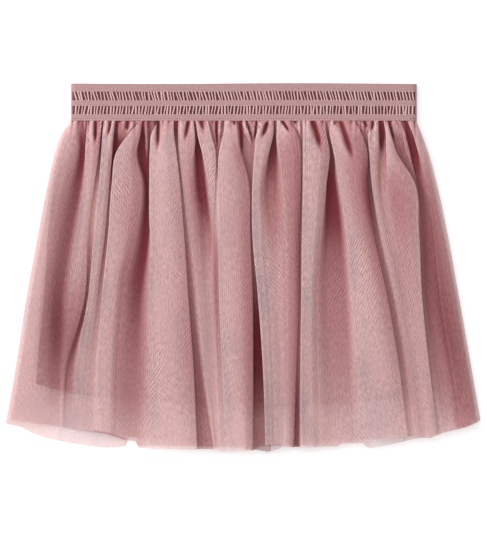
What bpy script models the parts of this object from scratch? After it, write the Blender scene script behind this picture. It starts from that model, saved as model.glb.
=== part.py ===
"""Child's gathered tulle skirt, laid flat on its back.

Metres, +Z up, +Y towards the waist. The origin is under the middle of the skirt's
outline, on the plane it lies on. From the plane up: outer tulle back, second tulle
back, lining back, lining front, second tulle front, outer tulle front. The elastic
waistband is a flattened loop against the panels' top edges.
"""
from collections import namedtuple
from math import cos, exp, pi, sin, sqrt

import bmesh
import bpy
from mathutils import Vector

MM = 0.001
PERCENT = 0.01

# Overall sizes
LENGTH = 250.0 * MM
WAIST_WIDTH = 234.6 * MM
BAND_HEIGHT = 25.2 * MM
SEAM_GAP = 0.3 * MM
WALL = 1.0 * MM
LAYER = WALL + SEAM_GAP

# Outline of the panels, by the distance run down the side from the waist seam
SIDE_LENGTH = 206.0 * MM
PUFF = 7.5 * MM
PUFF_REACH = 7.0 * MM
FLARE = 0.1796
SIDE_BOW = 1.6 * MM

# Hems
HEM_MIDDLE = LENGTH - BAND_HEIGHT
HEM_SIDE_RISE = 20.0 * MM
HEM_CURVE = 3.7
HEM_RIPPLE = 0.8 * MM
# Plain panels: how much shorter than the longest, and the ripples along half the hem
PlainHem = namedtuple("PlainHem", "name trim ripples phase")
OUTER_BACK_HEM = PlainHem("outer back", 2.4 * MM, 9, 0.6)
UNDER_BACK_HEM = PlainHem("second back", 1.2 * MM, 13, 2.0)
UNDER_FRONT_HEM = PlainHem("second front", SEAM_GAP, 16, 0.0)
LINING_LENGTH = 195.5 * MM
LINING_SIDE_RISE = 17.0 * MM
LINING_CURVE = 2.6

# The second tulle is cut inside the outer one, and the lining inside both
UNDER_INSET = 5.0 * MM
INSET_REACH = 12.0 * MM
LINING_TOP_SHARE = 0.957
LINING_HEM_SHARE = 0.900

# Elastic waistband
BAND_THICK = 7.2 * MM
BAND_WALL = 1.8 * MM
END_STEPS = 6
SLOTS_IN_A_ROW = 106
SLOT_WIDTH = 1.1 * MM
SLOT_DEPTH = 0.8 * MM
SLOT_END_MARGIN = 1.6 * MM

# Gathers at the waist seam
GATHER_LIFT = 1.1 * MM
GATHER_SHORTEST = 9.0 * MM
GATHER_LONGEST = 30.0 * MM
COLUMNS_IN_A_GATHER = 4
WAIST_LIFT = 1.2
CREASE_ROLL = 4.5 * MM

SEAM_Y = LENGTH / 2 - BAND_HEIGHT

# Where each crease of the outer front tulle runs, from the left side to the right.
# gathers: pleatlets in the stretch that ends at this crease. waist, yoke, middle, hem:
# place across, in percent of the half width there. The lifts are the cloth's height
# above where it would lie flat, and drop is its length to the hem, both in mm.
Crease = namedtuple(
    "Crease",
    "name gathers waist yoke middle hem yoke_lift middle_lift hem_lift drop",
)
CREASES = (
    Crease("left side", 0, -100.0, -100.0, -100.0, -100.0, 0.6, 0.6, 0.6, 205.7),
    Crease("side swell", 2, -95.7, -92.4, -91.3, -88.7, 3.2, 3.0, 3.4, 207.8),
    Crease("valley a", 1, -92.0, -85.4, -85.0, -80.5, 1.2, 0.8, 1.2, 208.4),
    Crease("fold b", 2, -85.4, -78.8, -75.5, -74.4, 5.6, 5.2, 5.4, 208.8),
    Crease("valley b", 1, -81.4, -74.4, -71.2, -69.8, 1.4, 1.2, 1.6, 209.1),
    Crease("fold c", 1, -76.5, -70.4, -67.4, -66.4, 5.0, 4.0, 3.4, 210.5),
    Crease("valley c", 1, -72.5, -67.0, -64.6, -62.9, 0.8, 0.6, 1.0, 210.6),
    Crease("fold d", 2, -66.1, -60.4, -60.3, -57.2, 6.2, 3.6, 5.0, 212.5),
    Crease("valley d", 2, -58.7, -50.8, -52.0, -48.8, 0.4, 0.2, 0.6, 216.6),
    Crease("fold e", 2, -51.8, -45.2, -42.3, -35.4, 6.4, 5.4, 4.8, 221.3),
    Crease("edge e", 2, -43.4, -34.6, -27.2, -18.9, 8.2, 8.6, 9.0, 222.7),
    Crease("valley e", 1, -39.4, -32.0, -24.4, -15.9, 1.2, 0.6, 0.8, 222.8),
    Crease("fold f", 2, -33.6, -27.2, -20.5, -13.3, 6.0, 3.4, 2.4, 223.2),
    Crease("valley f", 1, -27.8, -22.0, -17.2, -11.5, 0.8, 1.2, 1.4, 223.6),
    Crease("fold g", 2, -21.4, -17.9, -14.4, -9.7, 5.6, 3.6, 2.8, 224.1),
    Crease("valley g", 1, -14.4, -13.9, -11.6, -8.0, 1.4, 1.8, 1.8, 224.2),
    Crease("fold h", 2, -7.5, -7.2, -6.5, -4.6, 6.0, 6.2, 6.4, 223.9),
    Crease("edge h", 2, 1.7, 1.0, 2.6, 4.4, 6.6, 8.0, 8.6, 223.4),
    Crease("valley h", 1, 6.7, 4.4, 5.4, 7.4, 1.2, 0.6, 0.8, 221.5),
    Crease("fold i", 1, 11.4, 8.4, 10.4, 11.0, 6.2, 4.2, 3.4, 220.0),
    Crease("valley i", 1, 16.3, 12.8, 14.9, 14.7, 0.6, 1.2, 1.6, 218.6),
    Crease("fold j", 2, 24.9, 22.0, 22.2, 19.6, 7.0, 7.0, 6.2, 221.7),
    Crease("valley j", 1, 32.0, 29.3, 26.9, 23.6, 0.8, 0.6, 0.8, 221.4),
    Crease("fold k", 2, 37.9, 33.6, 31.2, 28.6, 6.4, 4.6, 3.8, 221.7),
    Crease("valley k", 2, 47.0, 42.0, 39.6, 36.4, 0.2, 0.4, 1.0, 221.2),
    Crease("fold l", 2, 55.7, 53.3, 50.6, 46.4, 6.0, 5.6, 5.2, 219.3),
    Crease("edge l", 2, 66.6, 62.0, 63.6, 65.6, 7.4, 8.4, 9.0, 214.5),
    Crease("valley l", 1, 71.3, 65.2, 67.0, 69.2, 1.0, 0.6, 0.8, 213.9),
    Crease("fold m", 1, 75.5, 70.1, 70.6, 72.6, 5.2, 4.0, 3.4, 213.8),
    Crease("valley m", 1, 79.9, 74.9, 74.2, 75.6, 0.8, 1.8, 1.8, 213.6),
    Crease("edge n", 2, 88.8, 85.2, 80.6, 79.6, 7.0, 7.6, 8.4, 213.2),
    Crease("valley n", 1, 92.6, 88.4, 83.8, 83.0, 0.8, 0.6, 0.8, 212.8),
    Crease("fold p", 1, 95.2, 91.5, 88.2, 87.0, 4.0, 3.4, 3.8, 210.5),
    Crease("valley p", 1, 97.6, 95.2, 93.2, 91.6, 0.9, 0.6, 0.8, 208.4),
    Crease("right side", 1, 100.0, 100.0, 100.0, 100.0, 0.6, 0.6, 0.6, 203.0),
)
CREASE_STATIONS = (0.0, 0.19, 0.53, 1.0)

# Rows from the waist seam to the hem, as shares of the length
FOLDED_ROWS = (0.0, 0.014, 0.034, 0.062, 0.10, 0.155, 0.235, 0.36, 0.52, 0.70, 0.86, 1.0)
PLAIN_ROWS = (0.0, 0.02, 0.06, 0.20, 0.55, 1.0)
PLAIN_COLUMNS = 30
SIDE_COLUMN_SHARES = (0.94, 0.97, 0.99, 1.0)


def start_clean():
    """Remove every object that the scene opened with."""
    for item in list(bpy.data.objects):
        bpy.data.objects.remove(item)


def smooth(share):
    """Ease from 0 to 1 as share goes from 0 to 1."""
    share = min(1.0, max(0.0, share))
    return share * share * (3 - 2 * share)


def hermite(start, end, leave, arrive, share):
    """Cubic from start to end with the given slopes at its ends."""
    square = share * share
    cube = square * share
    return (
        start * (2 * cube - 3 * square + 1)
        + leave * (cube - 2 * square + share)
        + end * (3 * square - 2 * cube)
        + arrive * (cube - square)
    )


def along(values, share):
    """Read a smooth curve through values at the crease stations."""
    stations = CREASE_STATIONS
    last = len(stations) - 1
    slopes = []
    for i in range(last + 1):
        low = max(0, i - 1)
        high = min(last, i + 1)
        slopes.append((values[high] - values[low]) / (stations[high] - stations[low]))
    i = 0
    while i < last - 1 and share > stations[i + 1]:
        i += 1
    span = stations[i + 1] - stations[i]
    local = (share - stations[i]) / span
    return hermite(values[i], values[i + 1], slopes[i] * span, slopes[i + 1] * span, local)


def half_width(share):
    """Half the outer tulle's width at a share of the way down its side."""
    run = SIDE_LENGTH * share
    puff = PUFF * (1 - exp(-run / PUFF_REACH))
    return WAIST_WIDTH / 2 + puff + FLARE * run + SIDE_BOW * sin(pi * share)


def tulle_hem(across, hem):
    """Distance from the seam to a plain tulle panel's hem; across runs from -1 to 1."""
    rise = HEM_SIDE_RISE * abs(across) ** HEM_CURVE
    ripple = HEM_RIPPLE * (1 - cos(hem.ripples * across + hem.phase))
    return HEM_MIDDLE - hem.trim - rise - ripple


def lining_hem(across):
    """Distance from the seam to the lining's hem."""
    return LINING_LENGTH - LINING_SIDE_RISE * abs(across) ** LINING_CURVE


def inset_at(share):
    """How far the second tulle's side lies inside the outer one's."""
    return UNDER_INSET * smooth(share * SIDE_LENGTH / INSET_REACH)


def outer_back_point(across, share, base):
    """A point of the outer back tulle."""
    drop = tulle_hem(across, OUTER_BACK_HEM)
    return Vector((across * half_width(share), SEAM_Y - SEAM_GAP - share * drop, base))


def under_point(across, share, base, hem):
    """A point of a second tulle, which lies a little inside the outer one."""
    reach = half_width(share) - inset_at(share)
    drop = tulle_hem(across, hem)
    return Vector((across * reach, SEAM_Y - SEAM_GAP - share * drop, base))


def under_back_point(across, share, base):
    """A point of the second back tulle."""
    return under_point(across, share, base, UNDER_BACK_HEM)


def under_front_point(across, share, base):
    """A point of the second front tulle, whose hem hangs lowest."""
    return under_point(across, share, base, UNDER_FRONT_HEM)


def lining_point(across, share, base):
    """A point of the lining, which is narrower and shorter."""
    drop = lining_hem(across)
    width_share = LINING_TOP_SHARE + (LINING_HEM_SHARE - LINING_TOP_SHARE) * share
    reach = half_width(share * drop / HEM_MIDDLE) * width_share
    return Vector((across * reach, SEAM_Y - SEAM_GAP - share * drop, base))


def crease_place(crease, share):
    """Place across (-1 to 1) and lift of a crease at a share of the way down."""
    across = along((crease.waist, crease.yoke, crease.middle, crease.hem), share)
    lift = along((WAIST_LIFT, crease.yoke_lift, crease.middle_lift, crease.hem_lift), share)
    return across * PERCENT, max(lift, 0) * MM


def side_lift(to_side, share, height):
    """Height of the layers under the outer front tulle, which rounds down at its sides."""
    sunk = smooth(share * SIDE_LENGTH / INSET_REACH)
    reach = min(1.0, max(0.0, to_side / UNDER_INSET))
    rounded = sqrt(1 - (1 - reach) ** 2)
    return height * (1 - sunk * (1 - rounded))


def gather_lift(index, share, drop):
    """Height of the pleatlet at a column, fading down from the waist seam."""
    pleatlet = index / COLUMNS_IN_A_GATHER
    number = round(pleatlet)
    reach = GATHER_SHORTEST + (GATHER_LONGEST - GATHER_SHORTEST) * sin(2.4 * number) ** 2
    wave = 0.5 - 0.5 * cos(2 * pi * pleatlet)
    return GATHER_LIFT * wave * exp(-share * drop / reach)


def folded_points(share, base, side_base):
    """One row across the outer front tulle, through every crease and pleatlet."""
    points = []
    index = 0
    for before, after in zip(CREASES, CREASES[1:]):
        columns = after.gathers * COLUMNS_IN_A_GATHER
        x0, lift0 = crease_place(before, share)
        x1, lift1 = crease_place(after, share)
        x0 *= half_width(share)
        x1 *= half_width(share)
        roll = CREASE_ROLL * smooth(share / CREASE_STATIONS[1])
        roll += (x1 - x0) * (1 - smooth(share / CREASE_STATIONS[1]))
        last = columns + 1 if after is CREASES[-1] else columns
        for step in range(last):
            local = step / columns
            x = hermite(x0, x1, roll, roll, local)
            drop = (before.drop + (after.drop - before.drop) * smooth(local)) * MM
            to_side = half_width(share) - abs(x)
            ground = side_base + side_lift(to_side, share, base - side_base)
            lift = lift0 + (lift1 - lift0) * smooth(local)
            lift += gather_lift(index, share, drop)
            points.append(Vector((x, SEAM_Y - SEAM_GAP - share * drop, ground + lift)))
            index += 1
    return points


def make_material(name, color, roughness):
    """A cloth finish."""
    material = bpy.data.materials.new(name)
    material.use_nodes = True
    shader = material.node_tree.nodes["Principled BSDF"]
    shader.inputs["Base Color"].default_value = (*color, 1)
    shader.inputs["Roughness"].default_value = roughness
    shader.inputs["Metallic"].default_value = 0
    return material


def add_mesh_object(name, mesh, material, collection):
    """Put a mesh in the model under its own name."""
    mesh.materials.append(material)
    item = bpy.data.objects.new(name, mesh)
    collection.objects.link(item)
    return item


def add_panel(name, rows, material, collection):
    """A cloth panel: an open grid of points through its middle, given its wall."""
    mesh = bpy.data.meshes.new(name)
    grid = bmesh.new()
    vertices = [[grid.verts.new(point) for point in row] for row in rows]
    for upper, lower in zip(vertices, vertices[1:]):
        for i in range(len(upper) - 1):
            grid.faces.new((upper[i], lower[i], lower[i + 1], upper[i + 1]))
    grid.to_mesh(mesh)
    grid.free()
    mesh.shade_smooth()
    item = add_mesh_object(name, mesh, material, collection)
    wall = item.modifiers.new("wall", "SOLIDIFY")
    wall.thickness = WALL
    wall.offset = 0
    return item


def plain_places():
    """Places across a plain panel, from -1 to 1, closer together at its sides."""
    side = list(SIDE_COLUMN_SHARES)
    inner = [side[0] * (2 * i / PLAIN_COLUMNS - 1) for i in range(1, PLAIN_COLUMNS)]
    return [-share for share in reversed(side)] + inner + side


def plain_rows(point, base):
    """Rows of a panel that lies flat."""
    return [[point(across, share, base) for across in plain_places()] for share in PLAIN_ROWS]


def band_mesh():
    """The middle surface of the flattened loop, open along its two edges."""
    radius = (BAND_THICK - BAND_WALL) / 2
    straight = (WAIST_WIDTH - BAND_THICK) / 2
    loop = bmesh.new()
    edges = []
    for y in (SEAM_Y, LENGTH / 2):
        ring = []
        for side in (1, -1):
            for step in range(END_STEPS + 1):
                angle = pi * (step / END_STEPS - 0.5)
                x = side * (straight + radius * cos(angle))
                ring.append(loop.verts.new((x, y, BAND_THICK / 2 + side * radius * sin(angle))))
        edges.append(ring)
    lower, upper = edges
    for i in range(len(lower)):
        after = (i + 1) % len(lower)
        loop.faces.new((lower[i], lower[after], upper[after], upper[i]))
    bmesh.ops.recalc_face_normals(loop, faces=loop.faces)
    mesh = bpy.data.meshes.new("waistband")
    loop.to_mesh(mesh)
    loop.free()
    return mesh


# The two ladder rows of the elastic: top and bottom edges below the band's top, in mm,
# and how far a slot's top leans towards -X of its bottom.
Ladder = namedtuple("Ladder", "name top bottom lean")
LADDERS = (
    Ladder("upper row", 5.6, 11.2, 1.1),
    Ladder("lower row", 15.3, 20.7, -0.7),
)


def add_slot_cutter(cutters, x, ladder):
    """One slanting slot, as a leaning block through the band's upper face."""
    block = bmesh.ops.create_cube(cutters, size=1)["verts"]
    top = LENGTH / 2 - ladder.top * MM
    bottom = LENGTH / 2 - ladder.bottom * MM
    floor = BAND_THICK - SLOT_DEPTH
    for vertex in block:
        upper_end = vertex.co.y > 0
        lean = -ladder.lean * MM / 2 if upper_end else ladder.lean * MM / 2
        vertex.co.x = x + vertex.co.x * SLOT_WIDTH + lean
        vertex.co.y = top if upper_end else bottom
        vertex.co.z = BAND_THICK + SLOT_DEPTH if vertex.co.z > 0 else floor


def add_slot_cutters(collection):
    """Both rows of slots, in one guide object."""
    cutters = bmesh.new()
    span = WAIST_WIDTH - BAND_THICK - 2 * SLOT_END_MARGIN
    for ladder in LADDERS:
        for i in range(SLOTS_IN_A_ROW):
            x = span * (i / (SLOTS_IN_A_ROW - 1) - 0.5)
            add_slot_cutter(cutters, x, ladder)
    mesh = bpy.data.meshes.new("slot_cutters")
    cutters.to_mesh(mesh)
    cutters.free()
    item = bpy.data.objects.new("slot_cutters", mesh)
    item.hide_render = True
    item.display_type = "WIRE"
    collection.objects.link(item)
    return item


def add_waistband(material, collection, cutter_collection):
    """The elastic loop with its ladder slots sunk into the face that shows."""
    band = add_mesh_object("waistband", band_mesh(), material, collection)
    wall = band.modifiers.new("wall", "SOLIDIFY")
    wall.thickness = BAND_WALL
    wall.offset = 0
    wall.use_even_offset = True
    cut = band.modifiers.new("slots", "BOOLEAN")
    cut.operation = "DIFFERENCE"
    cut.solver = "EXACT"
    cut.object = add_slot_cutters(cutter_collection)
    return band


def main():
    start_clean()
    skirt = bpy.data.collections.new("tulle_skirt")
    cutters = bpy.data.collections.new("cutters")
    bpy.context.scene.collection.children.link(skirt)
    bpy.context.scene.collection.children.link(cutters)

    tulle = make_material("tulle", (0.62, 0.33, 0.32), 0.75)
    under_tulle = make_material("under_tulle", (0.60, 0.30, 0.30), 0.75)
    jersey = make_material("jersey", (0.50, 0.22, 0.23), 0.9)
    elastic = make_material("elastic", (0.58, 0.30, 0.30), 0.7)

    add_waistband(elastic, skirt, cutters)
    middle = WALL / 2
    add_panel("tulle_top_back", plain_rows(outer_back_point, middle), tulle, skirt)
    base = middle + LAYER
    add_panel("tulle_under_back", plain_rows(under_back_point, base), under_tulle, skirt)
    side_base = base
    base += LAYER
    add_panel("lining_back", plain_rows(lining_point, base), jersey, skirt)
    base += LAYER
    add_panel("lining_front", plain_rows(lining_point, base), jersey, skirt)
    base += LAYER
    add_panel("tulle_under_front", plain_rows(under_front_point, base), under_tulle, skirt)
    base += LAYER
    rows = [folded_points(share, base, side_base) for share in FOLDED_ROWS]
    add_panel("tulle_top_front", rows, tulle, skirt)


main()
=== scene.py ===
"""Child's gathered tulle skirt, laid flat on its back.

Metres, +Z up, +Y towards the waist, +X to the right as seen from above. Two layers of
soft tulle and a shorter jersey lining hang from a wide elastic band with two ladder rows.
"""
import random
from collections import namedtuple
from math import cos, pi, radians, sin

import bmesh
import bpy
import numpy as np
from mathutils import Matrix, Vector


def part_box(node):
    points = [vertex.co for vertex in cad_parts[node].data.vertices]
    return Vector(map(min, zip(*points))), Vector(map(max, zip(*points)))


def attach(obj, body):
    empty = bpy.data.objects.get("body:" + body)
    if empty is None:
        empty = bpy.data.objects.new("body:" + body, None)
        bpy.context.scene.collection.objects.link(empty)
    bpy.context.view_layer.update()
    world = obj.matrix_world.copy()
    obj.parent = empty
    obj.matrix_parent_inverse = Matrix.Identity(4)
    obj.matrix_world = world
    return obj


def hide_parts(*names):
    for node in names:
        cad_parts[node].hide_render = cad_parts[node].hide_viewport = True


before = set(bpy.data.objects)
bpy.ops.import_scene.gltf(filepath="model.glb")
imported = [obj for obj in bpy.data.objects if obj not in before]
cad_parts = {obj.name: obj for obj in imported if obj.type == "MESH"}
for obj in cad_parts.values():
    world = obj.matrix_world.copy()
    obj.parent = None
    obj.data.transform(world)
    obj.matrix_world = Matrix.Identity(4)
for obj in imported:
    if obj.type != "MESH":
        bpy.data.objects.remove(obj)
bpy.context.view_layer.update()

MM = 0.001

# Elastic band, from its CAD solid and a little thicker
BAND_LOW, BAND_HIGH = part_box("waistband")
SEAM_Y = BAND_LOW[1]
WAIST_Y = BAND_HIGH[1]
WAIST_WIDTH = BAND_HIGH[0] - BAND_LOW[0]
BAND_THICK = BAND_HIGH[2] - BAND_LOW[2] + 0.6 * MM
BAND_WALL = 1.3 * MM
RECESS = 0.9 * MM

# Heights that the layers lie at, in mm: the front ones in the middle and at their sides
OUTER_BASE = 7.1
OUTER_SIDE = 1.0
SECOND_BASE = 5.6
SECOND_SIDE = 2.1
LINING_FRONT = 4.4
LINING_BACK = 3.1
SECOND_BACK = 1.7
OUTER_BACK = 0.25

# How far the tulle reaches up under the band, and how high it lies there, in mm
TUCK = 1.2
TUCK_HEIGHT = 5.9

# Distances down from the waist seam, in mm, at which the folds' edges, their form and
# their painted shade are given. The folds are first worked out to LONGEST, past every hem.
EDGE_RUNS = (0.0, 9.5, 19.7, 42.2, 74.8, 119.7, 170.0, 221.7)
FORM_RUNS = (14.0, 65.0, 120.0, 215.0)
TONE_RUNS = (6.0, 18.0, 46.0, 95.0, 150.0, 205.0)
LONGEST = 226.0

# The folds of the outer front tulle, from left to right, in mm. left and right are where
# the two edges run. An edge's softness is how wide it rounds over: 1 is a crisp edge.
# gap_lift is the height of the cloth between this fold and the next. The last three, in
# hundredths, are painted shade: how much the colour is darkened on the fold's left part,
# at its right edge, which is turned from the light, and in the gap after it, where the
# folds shade it. Below 0 it is a painted highlight, paler than the open cloth.
Fold = namedtuple(
    "Fold",
    "name left right left_soft right_soft left_height right_height gap_lift "
    "top_tone side_tone gap_tone",
)
FOLDS = (
    Fold("a", (-117.6, -124.2, -127.9, -133.3, -139.7, -147.9, -155.7, -165.0),
        (-109.4, -109.8, -109.4, -112.4, -118.3, -126.2, -127.2, -127.2),
        (3.0, 4.0, 4.0, 5.0), (3.0, 8.0, 8.0, 6.0),
        (2.6, 2.6, 2.8, 3.0), (3.4, 3.2, 3.0, 2.6), (0.8, 0.5, 0.6, 1.4),
        (12, 12, 12, 5, 5, 0), (30, 40, 45, 32, 42, 2), (75, 98, 82, 70, 78, 4)),
    Fold("b", (-106.6, -107.0, -108.0, -110.8, -117.2, -124.2, -125.2, -125.1),
        (-95.9, -96.6, -97.4, -99.6, -103.0, -106.6, -118.5, -120.5),
        (1.2, 5.0, 6.0, 6.0), (1.0, 3.0, 2.0, 5.0),
        (3.6, 3.6, 3.6, 3.0), (4.6, 4.6, 4.4, 3.2), (0.6, 2.6, 1.4, 2.8),
        (12, 15, 8, 12, 58, 0), (30, 42, 25, 25, 60, 0), (70, 75, 22, 45, 78, 0)),
    Fold("c", (-95.2, -95.9, -96.6, -98.8, -102.2, -105.9, -117.6, -119.6),
        (-87.0, -87.6, -88.4, -90.4, -93.0, -97.4, -102.0, -103.4),
        (1.0, 2.2, 1.4, 10.0), (1.0, 1.5, 3.0, 6.0),
        (5.6, 5.8, 5.4, 3.4), (4.8, 4.6, 4.4, 4.0), (0.8, 1.9, 2.6, 3.6),
        (8, 0, 0, 0, 0, 0), (20, 35, 30, 20, 10, 0), (42, 100, 52, 42, 18, 0)),
    Fold("d", (-70.4, -78.5, -85.7, -89.6, -92.0, -96.5, -101.0, -102.8),
        (-67.8, -69.0, -70.8, -65.5, -66.2, -72.0, -75.0, -75.0),
        (1.0, 1.0, 1.2, 5.0), (2.0, 5.5, 12.0, 18.0),
        (5.8, 6.2, 6.0, 4.6), (5.0, 4.4, 3.8, 3.4), (0.0, 0.0, 1.0, 2.0),
        (22, 8, 18, 3, 0, 0), (35, 45, 50, 60, 50, 32), (88, 98, 100, 95, 68, 38)),
    Fold("e", (-58.5, -62.9, -63.9, -64.3, -64.8, -71.0, -73.0, -73.0),
        (-47.2, -46.9, -45.5, -42.9, -40.2, -37.1, -33.4, -30.8),
        (1.0, 1.2, 9.0, 14.0), (1.0, 1.0, 1.0, 1.6),
        (6.4, 6.4, 5.4, 4.4), (7.0, 7.4, 7.6, 7.4), (3.2, 4.0, 2.6, 2.0),
        (15, 2, 0, 2, 10, 8), (25, 18, 28, 32, 38, 30), (90, 62, 48, 50, 62, 66)),
    Fold("f", (-44.9, -44.8, -44.7, -42.4, -39.6, -36.4, -29.6, -20.8),
        (-34.0, -32.7, -32.4, -29.8, -26.0, -24.2, -22.0, -18.4),
        (1.0, 2.0, 6.0, 7.0), (1.2, 7.0, 4.0, 3.0),
        (5.0, 4.6, 4.4, 4.2), (5.6, 4.4, 4.4, 4.4), (0.2, 1.0, 3.4, 3.6),
        (20, 22, 22, 28, 15, 5), (15, 30, 55, 28, 15, 8), (80, 95, 100, 30, 18, 8)),
    Fold("g", (-33.2, -31.9, -29.8, -27.2, -23.0, -22.4, -20.2, -17.5),
        (-24.1, -21.6, -18.9, -18.7, -18.9, -17.9, -16.2, -13.8),
        (1.5, 5.0, 3.0, 2.0), (1.2, 2.0, 3.0, 3.0),
        (5.6, 4.6, 4.6, 4.8), (5.4, 5.2, 5.2, 5.4), (2.4, 5.0, 4.6, 5.6),
        (6, 0, 15, 44, 28, 10), (12, 20, 10, 46, 28, 10), (55, 60, 5, 42, 28, 10)),
    Fold("h", (-13.4, -14.3, -16.9, -18.5, -18.4, -17.3, -15.3, -12.9),
        (-4.1, -3.0, -1.4, 3.8, 4.6, 6.3, 6.6, 6.6),
        (1.0, 2.6, 1.2, 4.0), (1.4, 1.0, 1.0, 1.0),
        (6.4, 6.4, 6.8, 6.6), (6.0, 6.4, 6.8, 7.0), (1.2, 3.2, 1.0, 0.6),
        (10, 8, 12, 5, 0, 0), (45, 55, 50, 60, 62, 45), (32, 42, 50, 55, 100, 62)),
    Fold("i", (13.8, 8.2, 7.0, 5.4, 5.3, 9.2, 12.6, 14.3),
        (21.1, 20.4, 18.4, 16.3, 19.4, 22.4, 24.5, 25.2),
        (1.0, 1.0, 1.0, 1.0), (1.4, 5.0, 7.0, 7.0),
        (6.6, 7.2, 7.4, 7.2), (5.4, 5.4, 5.6, 5.6), (0.6, 3.6, 4.6, 4.6),
        (5, 0, 0, -25, 0, 0), (25, 30, 45, 15, 10, 8), (75, 90, 68, 25, 20, 15)),
    Fold("j", (21.8, 21.4, 21.4, 21.4, 21.8, 23.1, 25.2, 25.8),
        (31.3, 36.7, 38.8, 38.9, 37.9, 37.4, 35.6, 34.0),
        (1.5, 6.0, 6.0, 6.0), (1.0, 1.0, 1.0, 1.0),
        (6.0, 6.0, 5.8, 5.8), (5.6, 5.6, 5.6, 5.8), (2.0, 3.4, 3.2, 1.4),
        (10, 32, 34, 32, 35, 24), (40, 58, 68, 75, 62, 50), (30, 36, 42, 46, 50, 85)),
    Fold("k", (39.4, 39.4, 39.4, 39.4, 38.8, 38.2, 37.0, 36.4),
        (55.2, 56.2, 58.4, 57.0, 56.0, 56.5, 58.5, 60.0),
        (1.0, 1.0, 1.4, 3.0), (1.2, 3.0, 8.0, 9.0),
        (7.2, 7.6, 7.4, 6.4), (5.8, 4.6, 4.4, 4.2), (0.0, 0.4, 1.4, 2.4),
        (12, 5, 5, -25, 0, 0), (35, 40, 30, 36, 28, 14), (50, 70, 100, 66, 42, 20)),
    Fold("l", (56.4, 57.6, 59.6, 61.2, 64.9, 68.2, 70.7, 73.4),
        (75.3, 80.0, 83.4, 83.8, 88.0, 97.4, 106.4, 114.5),
        (1.0, 5.0, 6.0, 11.0), (1.0, 1.0, 1.0, 3.0),
        (6.2, 5.6, 5.2, 4.8), (7.0, 7.4, 7.6, 6.8), (1.6, 2.8, 2.8, 2.8),
        (28, 22, 15, 2, 0, 0), (30, 60, 90, 60, 35, 22), (45, 50, 70, 46, 38, 15)),
    Fold("m", (86.4, 83.5, 84.0, 85.4, 89.8, 99.2, 108.2, 116.3),
        (92.5, 92.8, 92.8, 92.8, 98.6, 108.1, 115.9, 122.4),
        (1.0, 2.5, 4.0, 6.0), (2.4, 3.0, 3.0, 3.0),
        (6.0, 5.0, 4.6, 4.4), (4.8, 5.2, 5.0, 5.0), (1.2, 4.4, 4.4, 4.4),
        (15, 10, 15, 16, 28, 34), (30, 32, 30, 24, 20, 24), (85, 50, 30, 26, 20, 22)),
    Fold("n", (93.8, 95.2, 95.5, 95.9, 100.6, 109.5, 117.6, 123.8),
        (97.9, 100.3, 102.8, 115.7, 118.6, 120.8, 126.1, 132.6),
        (1.4, 3.0, 3.0, 3.0), (1.0, 1.0, 1.0, 1.0),
        (5.2, 5.6, 5.4, 5.4), (6.2, 7.0, 7.0, 5.4), (0.8, 2.2, 2.4, 3.4),
        (5, 5, 50, 34, 24, 22), (30, 35, 30, 18, 12, 10), (30, 60, 50, 66, 42, 10)),
    Fold("o", (104.7, 106.6, 108.6, 116.6, 119.6, 122.0, 127.8, 135.3),
        (107.0, 110.2, 112.8, 117.6, 120.7, 123.8, 131.2, 138.7),
        (1.2, 2.0, 2.0, 3.0), (1.4, 2.0, 2.0, 3.0),
        (3.4, 1.9, 2.4, 3.6), (3.0, 1.6, 2.4, 3.4), (0.2, 1.2, 2.2, 3.2),
        (20, 35, 65, 70, 58, 22), (35, 50, 70, 74, 62, 22), (85, 98, 76, 76, 64, 24)),
    Fold("p", (110.0, 114.0, 116.6, 119.2, 122.3, 127.2, 135.3, 142.8),
        (117.2, 121.0, 124.8, 131.0, 138.0, 146.2, 155.0, 164.0),
        (1.2, 6.0, 6.0, 6.0), (2.0, 4.0, 4.0, 5.0),
        (3.6, 2.8, 2.8, 3.0), (3.0, 2.8, 2.8, 3.0), (0.0, 0.0, 0.0, 0.0),
        (15, 20, 62, 78, 82, 62), (15, 20, 28, 42, 58, 52), (0, 0, 0, 0, 0, 0)),
)

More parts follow.
